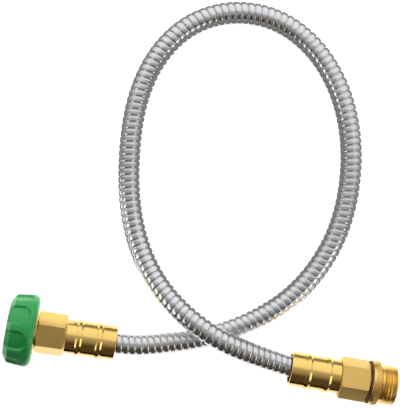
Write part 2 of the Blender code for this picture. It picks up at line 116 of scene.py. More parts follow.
# How far the hose goes into each ferrule, measured to the far side of the loop: past its solid's end
HOSE_END_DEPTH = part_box("hose")[1].x - MALE.mouth.x
FERRULE_LENGTH = MALE.reach("male_ferrule")[1]
FEMALE_TAIL, NOSE_END = FEMALE.reach("female_tailpiece")
MALE_TAIL, MALE_HEX_END = MALE.reach("male_tailpiece")
NUT_START, NUT_END = FEMALE.reach("swivel_nut")
GRIP_START, GRIP_END = FEMALE.reach("coupling_grip")
CLIP_START, CLIP_END = FEMALE.reach("retaining_clip")
WASHER_START, WASHER_END = FEMALE.reach("hose_washer")
GASKET_START, GASKET_END = MALE.reach("nipple_gasket")
SPIGOT_START, MALE_END = MALE.reach("male_nipple")
SEAT_GAP = GASKET_START - MALE_HEX_END


# Hose's route, as in the frame

CROSSING = (0.0085, 0.0174)
ROUTE = [
    (-0.0590, 0.0000, 0.0153),
    (-0.0419, 0.0014, 0.0129),
    (-0.0256, 0.0053, 0.0107),
    (-0.0084, 0.0104, 0.0091),
    (*CROSSING, 0.0082),
    (0.0225, 0.0250, 0.0077),
    (0.0485, 0.0440, 0.0076),
    (0.0685, 0.0710, 0.0076),
    (0.0800, 0.1025, 0.0076),
    (0.0825, 0.1360, 0.0076),
    (0.0775, 0.1690, 0.0076),
    (0.0645, 0.2000, 0.0076),
    (0.0430, 0.2255, 0.0076),
    (0.0140, 0.2410, 0.0076),
    (-0.0190, 0.2415, 0.0076),
    (-0.0475, 0.2270, 0.0076),
    (-0.0670, 0.1990, 0.0076),
    (-0.0745, 0.1660, 0.0076),
    (-0.0735, 0.1325, 0.0076),
    (-0.0675, 0.0995, 0.0077),
    (-0.0550, 0.0685, 0.0096),
    (-0.0345, 0.0425, 0.0163),
    (-0.0075, 0.0245, 0.0241),
    (*CROSSING, 0.0256),
    (0.0235, 0.0127, 0.0236),
    (0.0395, 0.0090, 0.0195),
    (0.0565, 0.0060, 0.0161),
    (0.0625, 0.0051, 0.0156),
]


# Settings

class HoseSettings(bpy.types.PropertyGroup):
    diameter: size("Diameter", 0.0150, "Across the crests of the armour")
    pitch: size("Pitch", 0.0046, "From one turn of the steel strip to the next")
    slot_depth: size("Slot depth", 0.0011, "From the crest to the bottom of the gap between turns")
    route_step: size("Route step", 0.0005, "Spacing of the centreline's points")
    socket_run: size("Socket run", 0.0030, "Last stretch at each end, held straight in the ferrule")
    facets: IntProperty(name="Facets", description="Points round the hose", default=40, min=16)


class FerruleSettings(bpy.types.PropertyGroup):
    diameter: size("Diameter", 0.0232, "Outside of the sleeve")
    mouth_diameter: size("Mouth", 0.0200, "Inside of the open end")
    mouth_depth: size("Mouth depth", 0.0100, "How deep the wide mouth goes")
    base: size("Base", 0.0018, "Thickness of the closed end")
    bead_rise: size("Bead rise", 0.0007, "Height of the two raised rings")
    bead_width: size("Bead width", 0.0019, "Flat top of a ring")
    bead_flank: size("Bead flank", 0.0013, "Slope on each side of a ring")
    first_bead: size("First ring", 0.0117, "Middle of the first ring, from the mouth")
    second_bead: size("Second ring", 0.0255, "Middle of the second ring, from the mouth")


class BodySettings(bpy.types.PropertyGroup):
    across_flats: size("Across flats", 0.0250, "Width of the hexagons")
    female_hex_length: size("Female hexagon", 0.0199, "Length of the female fitting's hexagon")
    chamfer_face: size("Chamfer circle", 0.0246, "Diameter of the end face inside the chamfer")
    male_turn: angle("Male turn", 15.5, "How far the male hexagon's upper flat leans towards the loop")
    water_bore: size("Water bore", 0.0080, "Way through the tailpieces")
    barb_root: size("Barb root", 0.0100, "Diameter between the barbs")
    barb_crest: size("Barb crest", 0.0112, "Diameter over the barbs")
    neck_diameter: size("Neck", 0.0120, "Diameter in the ferrule's base")
    neck_length: size("Neck length", 0.0024, "Length of the neck")
    nose_diameter: size("Nose", 0.0189, "Diameter that the nut turns on")
    groove_depth: size("Groove", 0.0011, "Depth of the split ring's groove")
    socket_diameter: size("Socket", 0.0172, "Socket for the male end's spigot")


class CouplingSettings(bpy.types.PropertyGroup):
    grip_diameter: size("Grip", 0.0490, "Across two opposite ribs, where they are highest")
    grip_taper: size("Taper", 0.0014, "How much smaller the grip's radius is at its mouth")
    ribs: IntProperty(name="Ribs", description="Ribs round the grip", default=8, min=3)
    turn: angle("Turn", 12, "How far the topmost rib lies round towards the loop")
    scoop_width: size("Scoop width", 0.0145, "Between two ribs")
    scoop_depth: size("Scoop depth", 0.0018, "Below the grip's full radius")
    scoop_wall: size("Scoop wall", 0.0011, "Width of the slope from a rib down into a scoop")
    scoop_length: size("Scoop length", 0.0146, "From the mouth to the end of the run-out")
    scoop_run_out: size("Run-out", 0.0062, "Length of the scoop's rounded end")
    back_round: size("Back rounding", 0.0042, "Rounding of the edge on the hose's side")
    mouth_bevel: size("Mouth bevel", 0.0032, "Length of the slope round the mouth")
    mouth_face: size("Mouth face", 0.0368, "Diameter of the flat face inside that slope")
    nut_across_flats: size("Nut", 0.0300, "Width of the nut's hexagon in the grip")
    pocket_start: size("Pocket", 0.0580, "Where the six-sided pocket starts, from the ferrule's mouth")
    collar_diameter: size("Collar", 0.0280, "Round part of the nut behind the grip")
    lip_thickness: size("Lip", 0.0026, "Thickness of the lip that runs on the nose")
    thread_bore: size("Thread bore", 0.0248, "Clear way inside the female thread")
    thread_root: size("Thread root", 0.0272, "Diameter in the grooves of the female thread")


class MaleEndSettings(bpy.types.PropertyGroup):
    spigot_diameter: size("Spigot", 0.0166, "Part that seats in the hexagon")
    spigot_bore: size("Spigot bore", 0.0120, "Way through the spigot")
    gasket_diameter: size("Gasket", 0.0290, "Across the gasket between hexagon and flange")
    flange_diameter: size("Flange", 0.0304, "Across the knurled flange")
    rim: size("Rim", 0.0018, "Plain rim of the flange")
    knurl_length: size("Knurl", 0.0036, "Length of the knurled band")
    knurl_teeth: IntProperty(name="Teeth", description="Teeth of the knurl", default=72, min=12)
    knurl_depth: size("Knurl depth", 0.0004, "Depth of the grooves between teeth")
    bevel: size("Bevel", 0.0015, "Length of the slope in front of the knurl")
    bevel_drop: size("Bevel drop", 0.0022, "How far the slope falls")
    undercut_length: size("Undercut", 0.0012, "Length of the groove between flange and thread")
    thread_diameter: size("Thread", 0.0269, "Over the crests of the garden hose thread")
    thread_root: size("Thread root", 0.0242, "Diameter in the grooves of the male thread")
    thread_pitch: size("Thread pitch", 0.0254 / 11.5, "11.5 threads to the inch")
    end_rim: size("End rim", 0.0011, "Plain rim in front of the first thread")
    bore: size("Bore", 0.0180, "Way in at the threaded end")
    bore_depth: size("Bore depth", 0.0165, "How deep that way goes")


class FinishSettings(bpy.types.PropertyGroup):
    brass: colour("Brass", "EFCB79", "Polished brass")
    brass_dull: colour("Handled brass", "E3BE6B", "Brass where it is handled")
    steel: colour("Steel", "D9DADC", "Stainless strip")
    steel_dull: colour("Dull steel", "C0C1C4", "Stainless strip with rolling marks")
    spring: colour("Spring steel", "9A9DA2", "Split ring")
    green: colour("Green", "1FA651", "Moulded plastic")
    green_deep: colour("Deep green", "199C49", "Moulded plastic where it is thicker")
    rubber: colour("Rubber", "261D16", "Washer and liner")
    # Painted reflection: the gasket rubber is tinted brown for the brass seen in the gap
    gasket_reflection_tint: colour("Gasket rubber", "6B3E1C", "Gasket between hexagon and flange")
    floor: colour("Floor", "FFFFFF", "Floor")
    # Painted shadow: black seen only in reflections, standing in for the table's shade on the near side
    painted_shadow: colour("Velvet", "0A0A0A", "Cloth that keeps light off the near side")
    # Painted shade: grey seen only in reflections, standing in for the floor's shade beside the hose
    painted_floor_shade: colour("Felt", "B2B2B2", "Cloth that keeps light off the loop's sides")


class StageSettings(bpy.types.PropertyGroup):
    lens: FloatProperty(name="Lens", description="Focal length", default=70.6, unit="CAMERA")
    sensor: FloatProperty(name="Sensor", description="Sensor's long side", default=36.0, unit="CAMERA")
    camera_x: size("Camera X", -0.0185, "Camera's place along the fittings")
    camera_y: size("Camera Y", 0.1051, "Camera's place towards the loop")
    camera_height: size("Camera height", 0.570, "Camera's height over the floor")
    camera_turn: angle("Camera turn", 10, "How far the picture is turned about the camera's line")
    floor_size: size("Floor size", 60.0, "Side of the floor")
    cloth_height: size("Cloth height", 0.72, "Height of the lit cloth over the floor")
    # Edge of the painted shadow sheet, which shows only in reflections
    painted_shadow_edge: size("Velvet edge", -0.065, "Where the velvet on the near side ends")
    # Start of the painted floor shade sheet past the fittings, which shows only in reflections
    floor_shade_edge: size("Felt edge", 0.045, "Where the felt past the fittings starts")


GROUPS = {
    "hose": HoseSettings,
    "ferrules": FerruleSettings,
    "bodies": BodySettings,
    "coupling": CouplingSettings,
    "male_end": MaleEndSettings,
    "finish": FinishSettings,
    "stage": StageSettings,
}


class HoseExtension(bpy.types.PropertyGroup):
    __annotations__ = {name: PointerProperty(type=group) for name, group in GROUPS.items()}


# Materials

def new_material(name):
    material = bpy.data.materials.new(name)
    material.use_nodes = True
    shader = material.node_tree.nodes["Principled BSDF"]
    return material, material.node_tree, shader


def add_node(tree, kind, settings=None, inputs=None, links=None):
    """Adds a node with its settings and input values, and links sockets of other nodes into it."""
    node = tree.nodes.new(kind)
    for name, value in (settings or {}).items():
        setattr(node, name, value)
    for name, value in (inputs or {}).items():
        node.inputs[name].default_value = value
    for name, source in (links or {}).items():
        tree.links.new(source, node.inputs[name])
    return node


def colour_between(tree, factor, first, second):
    """A ramp from one colour to another."""
    ramp = add_node(tree, "ShaderNodeValToRGB", links={"Fac": factor})
    ramp.color_ramp.elements[0].color = (*first, 1)
    ramp.color_ramp.elements[1].color = (*second, 1)
    return ramp.outputs["Color"]


def set_sockets(shader, values):
    for name, value in values.items():
        shader.inputs[name].default_value = value


def stretched_noise(tree, scales, detail=3.0, roughness=0.6, place=None):
    """Noise with its own scale along X, Y and Z, in cycles to the metre."""
    if place is None:
        place = add_node(tree, "ShaderNodeTexCoord").outputs["Object"]
    mapping = add_node(tree, "ShaderNodeMapping", inputs={"Scale": scales}, links={"Vector": place})
    noise = add_node(
        tree,
        "ShaderNodeTexNoise",
        inputs={"Scale": 1.0, "Detail": detail, "Roughness": roughness},
        links={"Vector": mapping.outputs["Vector"]},
    )
    return noise.outputs["Fac"]


def bumped(tree, height, strength, distance):
    bump = add_node(
        tree,
        "ShaderNodeBump",
        inputs={"Strength": strength, "Distance": distance},
        links={"Height": height},
    )
    return bump.outputs["Normal"]


def roughened(tree, factor, low, high):
    """Roughness that wanders between two values."""
    spread = add_node(
        tree,
        "ShaderNodeMapRange",
        inputs={"From Min": 0.3, "From Max": 0.7, "To Min": low, "To Max": high},
        links={"Value": factor},
    )
    return spread.outputs["Result"]


def brass(name, finish, mark_scales, mark_depth, smoothest, roughest):
    """Free-cutting brass: yellow metal whose tool marks draw the highlights out along them."""
    material, tree, shader = new_material(name)
    handling = stretched_noise(tree, (60, 60, 60), 4.0)
    marks = stretched_noise(tree, mark_scales, 2.0)
    tree.links.new(
        colour_between(tree, handling, finish.brass_dull, finish.brass), shader.inputs["Base Color"]
    )
    shader.inputs["Metallic"].default_value = 1.0
    tree.links.new(roughened(tree, handling, smoothest, roughest), shader.inputs["Roughness"])
    tree.links.new(bumped(tree, marks, 0.25, mark_depth), shader.inputs["Normal"])
    return material


def turned_brass(finish):
    """Brass turned and polished. Its marks run round, drawn 0.4 mm apart so that they show."""
    return brass("turned_brass", finish, (1 / (0.4 * MM), 20, 20), 0.02 * MM, 0.11, 0.19)


def satin_turned_brass(finish):
    """Brass as it leaves the lathe: the tool marks are left on, so the light spreads over them."""
    return brass("satin_turned_brass", finish, (1 / (0.4 * MM), 20, 20), 0.02 * MM, 0.24, 0.32)


def drawn_brass(finish):
    """Hexagonal brass bar, polished. Its drawing marks run along it, 0.5 mm apart so that they show."""
    return brass("drawn_brass", finish, (25, 1 / (0.5 * MM), 1 / (0.5 * MM)), 0.02 * MM, 0.13, 0.21)


def satin_drawn_brass(finish):
    """Hexagonal brass bar as drawn. Its marks run along it, 0.6 mm apart so that they show."""
    scales = (20, 1 / (0.6 * MM), 1 / (0.6 * MM))
    return brass("satin_drawn_brass", finish, scales, 0.05 * MM, 0.38, 0.48)


def stainless_strip(finish):
    """Cold-rolled stainless strip, wound. The rolling lines follow the strip and streak the light."""
    material, tree, shader = new_material("stainless_strip")
    strip = add_node(tree, "ShaderNodeAttribute", {"attribute_name": "strip"})
    streaks = stretched_noise(tree, (40, 1 / (0.45 * MM), 1), 3.0, 0.65, strip.outputs["Vector"])
    tree.links.new(
        colour_between(tree, streaks, finish.steel_dull, finish.steel), shader.inputs["Base Color"]
    )
    shader.inputs["Metallic"].default_value = 1.0
    tree.links.new(roughened(tree, streaks, 0.15, 0.26), shader.inputs["Roughness"])
    tree.links.new(bumped(tree, streaks, 0.3, 0.04 * MM), shader.inputs["Normal"])
    return material


def spring_steel(finish):
    """Hardened spring steel: grey, with a dull oil-blackened skin."""
    material, tree, shader = new_material("spring_steel")
    grain = stretched_noise(tree, (900, 900, 900))
    tree.links.new(
        colour_between(tree, grain, finish.spring, finish.steel_dull), shader.inputs["Base Color"]
    )
    shader.inputs["Metallic"].default_value = 1.0
    tree.links.new(roughened(tree, grain, 0.30, 0.45), shader.inputs["Roughness"])
    return material


def moulded_green(finish):
    """Injection-moulded ABS: even colour, soft sheen and a faint swirl from the mould."""
    material, tree, shader = new_material("moulded_green")
    swirl = stretched_noise(tree, (70, 70, 70), 2.0)
    grain = stretched_noise(tree, (1 / (0.5 * MM),) * 3, 4.0)
    tree.links.new(
        colour_between(tree, swirl, finish.green_deep, finish.green), shader.inputs["Base Color"]
    )
    shader.inputs["IOR"].default_value = 1.53
    tree.links.new(roughened(tree, grain, 0.30, 0.40), shader.inputs["Roughness"])
    tree.links.new(bumped(tree, grain, 0.12, 0.03 * MM), shader.inputs["Normal"])
    return material


def rubber_material(name, base):
    """EPDM rubber: matt, with a fine moulded grain."""
    material, tree, shader = new_material(name)
    grain = stretched_noise(tree, (1 / (0.4 * MM),) * 3, 4.0)
    tree.links.new(
        colour_between(tree, grain, base, tuple(1.6 * c for c in base)), shader.inputs["Base Color"]
    )
    shader.inputs["IOR"].default_value = 1.52
    tree.links.new(roughened(tree, grain, 0.55, 0.75), shader.inputs["Roughness"])
    tree.links.new(bumped(tree, grain, 0.2, 0.04 * MM), shader.inputs["Normal"])
    return material


def moulded_rubber(finish):
    """Black EPDM rubber of the washer and the liner."""
    return rubber_material("moulded_rubber", finish.rubber)


def reflection_tinted_rubber(finish):
    """EPDM rubber of the gasket, tinted brown as a painted reflection of the brass round the gap."""
    return rubber_material("reflection_tinted_rubber", finish.gasket_reflection_tint)


def matt_white(finish):
    """White painted board, lit from within so that it stays as pale as a light table."""
    material, tree, shader = new_material("matt_white")
    mottle = stretched_noise(tree, (6, 6, 6))
    tree.links.new(
        colour_between(tree, mottle, tuple(0.97 * c for c in finish.floor), finish.floor),
        shader.inputs["Base Color"],
    )
    set_sockets(shader, {"Roughness": 0.9, "Specular IOR Level": 0.0})
    set_sockets(shader, {"Emission Color": (*finish.floor, 1), "Emission Strength": 0.85})
    return material


def finish_of(context, name):
    """The named material, made when it is first asked for."""
    found = bpy.data.materials.get(name)
    return found or FINISHES[name](context.scene.hose_extension.finish)


# Meshes

def eased(profile, steps=6):
    """Rows (place, radius) of a closed profile (place, radius, rounding), with its corners rounded."""
    rows = []
    for i, (place, radius, rounding) in enumerate(profile):
        corner = np.array((place, radius))
        if not rounding:
            rows.append(tuple(corner))
            continue
        before = np.array(profile[i - 1][:2]) - corner
        after = np.array(profile[(i + 1) % len(profile)][:2]) - corner
        start = corner + before / np.linalg.norm(before) * rounding
        end = corner + after / np.linalg.norm(after) * rounding
        for t in np.linspace(0, 1, steps + 1):
            rows.append(tuple((1 - t) ** 2 * start + 2 * t * (1 - t) * corner + t**2 * end))
    return rows


def soft_min(a, b, softness):
    """The smaller of two radii, with the corner where they cross rounded off."""
    overlap = np.maximum(softness - np.abs(a - b), 0) / softness
    return np.minimum(a, b) - overlap**2 * softness / 4


def even_angles(count, turn=0.0):
    return turn + np.arange(count) * 2 * math.pi / count


def hex_angles(turn):
    """Angles round a hexagon whose first flat faces turn, closer together at its corners."""
    half = [0, 4, 8, 12, 16, 20, 24, 27, 28.8, 29.5]
    sector = [-a for a in reversed(half[1:])] + half + [30]
    return turn + np.radians([60 * k + a for k in range(6) for a in sector])


def hexagon(angles, turn, across_flats):
    """Distance to the hexagon's flats at each angle."""
    sector = math.pi / 3
    off = (angles - turn + sector / 2) % sector - sector / 2
    return across_flats / 2 / np.cos(off)


def wound_rows(start, end, pitch, phases, count):
    """Places and phases of rows that climb one pitch in each turn, held between start and end."""
    turns = math.ceil((end - start) / pitch) + 1
    steps = np.array([turn + phase for turn in range(-1, turns) for phase in phases])
    places = start + pitch * (steps[:, None] + np.arange(count) / count)
    return np.clip(places, start, end), steps


def wound_faces(row_count, count, rows_in_turn, first):
    """Quads between wound rows. The seam joins a row's end to the row one turn further on."""
    faces = []
    for i in range(row_count - 1):
        for k in range(count - 1):
            a = first + i * count + k
            faces.append((a, a + 1, a + 1 + count, a + count))
        if i + 1 + rows_in_turn < row_count:
            a = first + i * count + count - 1
            b = first + (i + rows_in_turn) * count
            faces.append((a, b, b + count, a + count))
    return faces


def closed_mesh(name, points, faces, sharp_degrees, cap_ends=False, strip=None):
    """One clean closed mesh: doubles merged, slivers dissolved, faces turned outwards."""
    mesh = bpy.data.meshes.new(name)
    mesh.from_pydata([tuple(p) for p in points], [], faces)
    if strip is not None:
        layer = mesh.attributes.new("strip", "FLOAT_VECTOR", "POINT")
        layer.data.foreach_set("vector", strip.astype(np.float32).ravel())
    form = bmesh.new()
    form.from_mesh(mesh)
    bmesh.ops.remove_doubles(form, verts=form.verts, dist=0.0005 * MM)
    bmesh.ops.dissolve_degenerate(form, edges=form.edges, dist=0.0005 * MM)
    if cap_ends:
        bmesh.ops.holes_fill(form, edges=[e for e in form.edges if e.is_boundary])
    loose = [v for v in form.verts if not v.link_faces]
    bmesh.ops.delete(form, geom=loose, context="VERTS")
    bmesh.ops.recalc_face_normals(form, faces=form.faces)
    form.to_mesh(mesh)
    form.free()
    mesh.shade_smooth()
    mesh.set_sharp_from_angle(angle=math.radians(sharp_degrees))
    return mesh


class Turning:
    """A piece turned about a fitting's line: a closed loop of rings, with threads where asked."""

    def __init__(self, fitting, angles):
        self.fitting = fitting
        self.angles = np.asarray(angles)
        self.points = []
        self.faces = []
        self.first = None
        self.last = None

    def ring(self, place, radius, joined=True):
        count = len(self.angles)
        radii = np.broadcast_to(radius, (count,))
        places = np.broadcast_to(place, (count,))
        start = len(self.points)
        self.points.extend(self.fitting.points(places, self.angles, radii))
        if self.first is None:
            self.first = start
        elif joined:
            self._bridge(self.last, start)
        self.last = start

    def rings(self, rows):
        for place, radius in rows:
            self.ring(place, radius)

    def thread(self, near, far, pitch, section, base_radius, depth, fade):
        """A thread between two places. The section lists (share of the pitch, share of the depth)."""
        count = len(self.angles)
        low, high = min(near, far), max(near, far)
        self.ring(near, base_radius)
        shares = [share for share, _ in section]
        heights = np.array([height for _, height in section])
        places, steps = wound_rows(low, high, pitch, shares, count)
        height = np.tile(heights, len(steps) // len(section))[:, None]
        ease = np.clip(np.minimum(places - low, high - places) / fade, 0, 1)
        radii = base_radius + depth * height * ease * ease * (3 - 2 * ease)
        start = len(self.points)
        angles = self.angles[0] + np.arange(count) * 2 * math.pi / count
        grid = self.fitting.points(places, np.broadcast_to(angles, places.shape), radii)
        self.points.extend(grid.reshape(-1, 3))
        self.faces.extend(wound_faces(len(steps), count, len(section), start))
        self.ring(far, base_radius, joined=False)

    def _bridge(self, a, b):
        count = len(self.angles)
        for k in range(count):
            after = (k + 1) % count
            self.faces.append((a + k, a + after, b + after, b + k))

    def mesh(self, name, sharp_degrees=35):
        self._bridge(self.last, self.first)
        return closed_mesh(name, self.points, self.faces, sharp_degrees)


def turned_piece(context, name, fitting, profile, finish, count=96):
    """A piece of plain round profile."""
    turning = Turning(fitting, even_angles(count))
    turning.rings(eased(profile))
    return new_piece(context, name, turning.mesh(name), finish)


def new_piece(context, name, mesh, finish):
    obj = bpy.data.objects.new(name, mesh)
    context.scene.collection.objects.link(obj)
    obj.data.materials.append(finish_of(context, finish))
    return obj


def stands_for(obj, node, body):
    """The piece takes a node's place and rides on its body."""
    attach(obj, body)
    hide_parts(node)


def refinish(context, node, finish):
    """A carried-over node keeps its shape and gets its real finish."""
    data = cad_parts[node].data
    data.materials.clear()
    data.materials.append(finish_of(context, finish))


# Hose

def smooth_curve(points, start_direction, end_direction, spacing):
    """Points spacing apart on the cubic spline through the given ones."""
    given = np.array(points)
    steps = np.linalg.norm(np.diff(given, axis=0), axis=1)
    along = np.concatenate([[0], np.cumsum(steps)])
    count = len(given)
    matrix = np.zeros((count, count))
    right = np.zeros((count, 3))
    matrix[0, 0] = matrix[-1, -1] = 1
    right[0] = start_direction
    right[-1] = end_direction
    for i in range(1, count - 1):
        before = 1 / steps[i - 1]
        after = 1 / steps[i]
        matrix[i, i - 1 : i + 2] = before, 2 * (before + after), after
        slope_before = (given[i] - given[i - 1]) * before**2
        slope_after = (given[i + 1] - given[i]) * after**2
        right[i] = 3 * (slope_before + slope_after)
    slopes = np.linalg.solve(matrix, right)
    fine = np.linspace(0, along[-1], 80 * count)
    index = np.clip(np.searchsorted(along, fine, side="right") - 1, 0, count - 2)
    length = steps[index][:, None]
    t = (fine - along[index])[:, None] / length
    curve = (
        (2 * t**3 - 3 * t**2 + 1) * given[index]
        + (t**3 - 2 * t**2 + t) * length * slopes[index]
        + (3 * t**2 - 2 * t**3) * given[index + 1]
        + (t**3 - t**2) * length * slopes[index + 1]
    )
    return respaced(curve, spacing)


def respaced(curve, spacing):
    """The same line with even steps."""
    travelled = np.concatenate([[0], np.cumsum(np.linalg.norm(np.diff(curve, axis=0), axis=1))])
    stations = np.linspace(0, travelled[-1], round(travelled[-1] / spacing) + 1)
    return np.stack([np.interp(stations, travelled, curve[:, k]) for k in range(3)], axis=1)


def hose_centreline(settings):
    """The hose's middle, from its end in the female ferrule to its end in the male one."""
    held = HOSE_END_DEPTH - settings.socket_run
    female_end = FEMALE.mouth + FEMALE.outward * HOSE_END_DEPTH
    female_socket = FEMALE.mouth + FEMALE.outward * held
    male_socket = MALE.mouth + MALE.outward * held
    male_end = MALE.mouth + MALE.outward * HOSE_END_DEPTH
    points = [female_socket, *ROUTE, male_socket]
    middle = smooth_curve(points, -FEMALE.outward, MALE.outward, settings.route_step)
    return respaced(np.vstack([female_end, middle, male_end]), settings.route_step)


def carried_frames(line):
    """Unit vectors across the line, carried along it without twist."""
    tangents = np.gradient(line, axis=0)
    tangents /= np.linalg.norm(tangents, axis=1)[:, None]
    across = np.zeros_like(line)
    last = np.array((0.0, 0.0, 1.0))
    for i, tangent in enumerate(tangents):
        carried = last - tangent * np.dot(last, tangent)
        last = across[i] = carried / np.linalg.norm(carried)
    return across, np.cross(tangents, across)


# The strip's edge laps over the turn before it: a rounded band, a lower step and a slot.
# Each row gives a share of the pitch and a share of the slot's depth.
STRIP_SECTION = [
    (0.000, 1.00),
    (0.050, 1.00),
    (0.065, 0.42),
    (0.090, 0.12),
    (0.150, 0.02),
    (0.300, 0.00),
    (0.640, 0.00),
    (0.750, 0.03),
    (0.800, 0.14),
    (0.820, 0.46),
    (0.845, 0.52),
    (0.900, 0.56),
    (0.935, 0.72),
    (0.950, 1.00),
]


def armour_mesh(line, settings):
    """The interlocked strip wound right-handed round the centreline."""
    travelled = np.arange(len(line)) * np.linalg.norm(np.diff(line, axis=0), axis=1).mean()
    across, beside = carried_frames(line)
    count = settings.facets
    shares = [share for share, _ in STRIP_SECTION]
    places, steps = wound_rows(0, travelled[-1], settings.pitch, shares, count)
    depths = np.tile([depth for _, depth in STRIP_SECTION], len(steps) // len(STRIP_SECTION))
    inside = (places > 0) & (places < travelled[-1])
    radii = settings.diameter / 2 - settings.slot_depth * depths[:, None] * inside
    angles = np.arange(count) * 2 * math.pi / count

    def along(values):
        flat = [np.interp(places.ravel(), travelled, values[:, k]) for k in range(3)]
        return np.stack(flat, axis=1).reshape(*places.shape, 3)

    points = along(line)
    points = points + along(across) * (radii * np.cos(angles))[..., None]
    points = points + along(beside) * (radii * np.sin(angles))[..., None]
    faces = wound_faces(len(steps), count, len(STRIP_SECTION), 0)
    turn_length = math.pi * settings.diameter
    strip = np.zeros((*places.shape, 3))
    strip[..., 0] = (np.floor(steps)[:, None] + np.arange(count) / count) * turn_length
    strip[..., 1] = (steps % 1)[:, None] * settings.pitch
    strip = strip.reshape(-1, 3)
    return closed_mesh("hose_armour", points.reshape(-1, 3), faces, 50, cap_ends=True, strip=strip)


class HOSE_OT_armoured_hose(bpy.types.Operator):
    """Winds the steel strip of the hose along its route"""

    bl_idname = "hose_extension.armoured_hose"
    bl_label = "Armoured Hose"

    def execute(self, context):
        settings = context.scene.hose_extension.hose
        line = hose_centreline(settings)
        mesh = armour_mesh(line, settings)
        hose = new_piece(context, "hose_armour", mesh, "stainless_strip")
        stands_for(hose, "hose", HOSE_BODY)
        path = line[:: round(settings.diameter / 5 / settings.route_step)]
        path = np.vstack([path, line[-1]])
        return {"FINISHED"}


class HOSE_OT_ferrules(bpy.types.Operator):
    """Makes the two crimped sleeves and finishes the liner's ends in them"""

    bl_idname = "hose_extension.ferrules"
    bl_label = "Ferrules"

    def execute(self, context):
        settings = context.scene.hose_extension.ferrules
        neck = context.scene.hose_extension.bodies.neck_diameter / 2 + SEAT_GAP
        liner = context.scene.hose_extension.hose.diameter / 2 + SEAT_GAP
        outer = settings.diameter / 2
        mouth = settings.mouth_diameter / 2
        crest = outer + settings.bead_rise
        half = settings.bead_width / 2
        profile = [(0, mouth, 0.2 * MM), (0, outer, 0.4 * MM)]
        for bead in (settings.first_bead, settings.second_bead):
            profile += [
                (bead - half - settings.bead_flank, outer, 0.25 * MM),
                (bead - half, crest, 0.3 * MM),
                (bead + half, crest, 0.3 * MM),
                (bead + half + settings.bead_flank, outer, 0.25 * MM),
            ]
        profile += [
            (FERRULE_LENGTH, outer, 0.15 * MM),
            (FERRULE_LENGTH, neck, 0),
            (FERRULE_LENGTH - settings.base, neck, 0),
            (FERRULE_LENGTH - settings.base, liner, 0),
            (settings.mouth_depth, liner, 0.2 * MM),
            (settings.mouth_depth, mouth, 0.4 * MM),
        ]
        for fitting, end in ((FEMALE, "female"), (MALE, "male")):
            sleeve = turned_piece(context, end + "_crimped_sleeve", fitting, profile, "turned_brass")
            stands_for(sleeve, end + "_ferrule", HOSE_BODY)
            refinish(context, end + "_liner_end", "moulded_rubber")
        return {"FINISHED"}


# Tailpieces

def tail_rows(settings, tip, hex_start, barbs=4):
    """The barbed tail, from its tip to the hexagon."""
    root = settings.barb_root / 2
    crest = settings.barb_crest / 2
    neck_start = hex_start - settings.neck_length
    step = (neck_start - tip) / barbs
    rows = [(tip, settings.water_bore / 2), (tip, root)]
    for k in range(barbs):
        rows.append((tip + (k + 1) * step - SEAT_GAP, crest))
        rows.append((tip + (k + 1) * step, root))
    rows += [(neck_start, settings.neck_diameter / 2), (hex_start, settings.neck_diameter / 2)]
    return rows


def hex_rings(turning, settings, turn, start, end, face_diameter):
    """The hexagon's rings, its corners cut back by a 30 degree chamfer at both ends."""
    flats = hexagon(turning.angles, turn, settings.across_flats)
    face = face_diameter / 2
    slope = math.tan(math.radians(30))
    chamfer = (flats.max() - face) * slope
    cuts = chamfer * np.array([0, 0.06, 0.15, 0.27, 0.4, 0.55, 0.7, 0.85, 1.0, 1.15, 1.4])
    for place in [*(start + cuts), *(end - cuts[::-1])]:
        envelope = face + min(place - start, end - place) / slope
        turning.ring(place, soft_min(flats, envelope, 0.12 * MM))


class HOSE_OT_tailpieces(bpy.types.Operator):
    """Makes the two brass bodies with their hexagons, barbs and bores"""

    bl_idname = "hose_extension.tailpieces"
    bl_label = "Tailpieces"

    def execute(self, context):
        settings = context.scene.hose_extension.bodies
        bore = settings.water_bore / 2
        hex_start = FERRULE_LENGTH + SEAT_GAP
        nose = settings.nose_diameter / 2
        groove = nose - settings.groove_depth

        body = Turning(FEMALE, hex_angles(0))
        body.rings(tail_rows(settings, FEMALE_TAIL, hex_start))
        hex_end = hex_start + settings.female_hex_length
        hex_rings(body, settings, 0, hex_start, hex_end, settings.chamfer_face)
        body.rings(
            [
                (hex_end, nose),
                (CLIP_START - SEAT_GAP, nose),
                (CLIP_START - SEAT_GAP, groove),
                (CLIP_END + SEAT_GAP, groove),
                (CLIP_END + SEAT_GAP, nose),
                (NOSE_END, nose),
                (NOSE_END, bore),
            ]
        )
        piece = new_piece(context, "female_body", body.mesh("female_body"), "drawn_brass")
        stands_for(piece, "female_tailpiece", HOSE_BODY)

        turn = -settings.male_turn
        body = Turning(MALE, hex_angles(turn))
        body.rings(tail_rows(settings, MALE_TAIL, hex_start))
        hex_rings(body, settings, turn, hex_start, MALE_HEX_END, settings.chamfer_face)
        socket = settings.socket_diameter / 2
        body.rings(
            [(MALE_HEX_END, socket), (SPIGOT_START - SEAT_GAP, socket), (SPIGOT_START - SEAT_GAP, bore)]
        )
        piece = new_piece(context, "male_body", body.mesh("male_body"), "satin_drawn_brass")
        stands_for(piece, "male_tailpiece", HOSE_BODY)
        return {"FINISHED"}


# Coupling

# One turn of a thread with a rounded root and crest: share of the pitch, share of the depth
THREAD_SECTION = [
    (0.00, 0.00),
    (0.09, 0.05),
    (0.18, 0.22),
    (0.32, 0.72),
    (0.41, 0.95),
    (0.50, 1.00),
    (0.59, 0.95),
    (0.68, 0.72),
    (0.82, 0.22),
    (0.91, 0.05),
]


